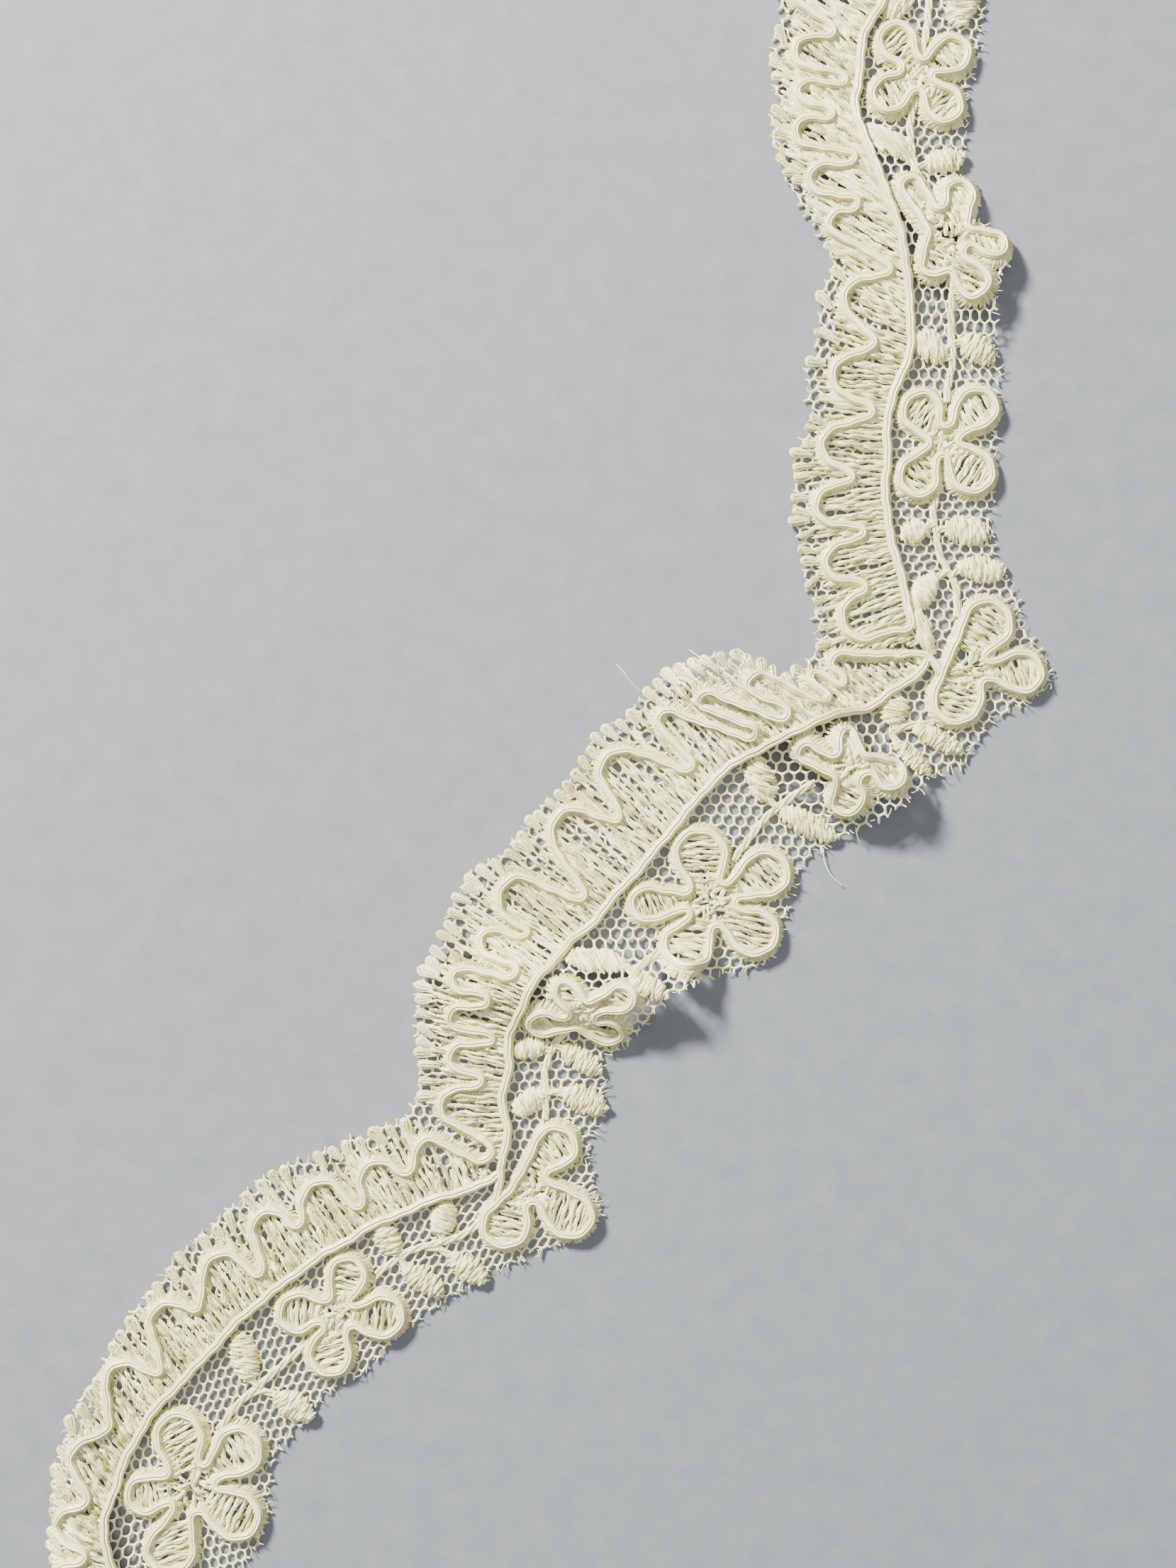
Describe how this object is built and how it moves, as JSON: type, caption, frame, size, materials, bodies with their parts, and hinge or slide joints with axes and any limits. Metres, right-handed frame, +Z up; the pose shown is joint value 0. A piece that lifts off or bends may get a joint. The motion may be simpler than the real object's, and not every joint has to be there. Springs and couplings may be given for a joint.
{
  "type": "corded lace edging",
  "caption": "Ivory corded lace edging with a scalloped looped side and a cut net side, lying face up in a loose S with soft folds.",
  "frame": {"origin": "middle of the part's bounding box, at the underside that lies on the table", "axes": "+Y runs the way the strip runs, towards its upper end as it lies; +X points to the cut net side of the upper half; +Z points up out of the lace's face"},
  "size_m": [0.118, 0.196, 0.0076],
  "materials": {
    "lace_thread": "ivory viscose and cotton embroidery thread on net, soft sheen",
    "cord_thread": "ivory wrapped satin cord, soft gloss"
  },
  "bodies": {
    "root": {"lace_ground": "lace_thread", "spine_cord_a": "cord_thread", "spine_cord_b": "cord_thread", "spine_cord_c": "cord_thread", "scallop_cord_a": "cord_thread", "scallop_cord_b": "cord_thread", "scallop_cord_c": "cord_thread", "flower_cord_1": "cord_thread", "flower_cord_2": "cord_thread", "flower_cord_3": "cord_thread", "flower_cord_4": "cord_thread", "flower_cord_5": "cord_thread", "flower_cord_6": "cord_thread", "flower_cord_7": "cord_thread", "flower_cord_8": "cord_thread", "flower_cord_9": "cord_thread", "flower_cord_10": "cord_thread"}
  },
  "joints": []
}
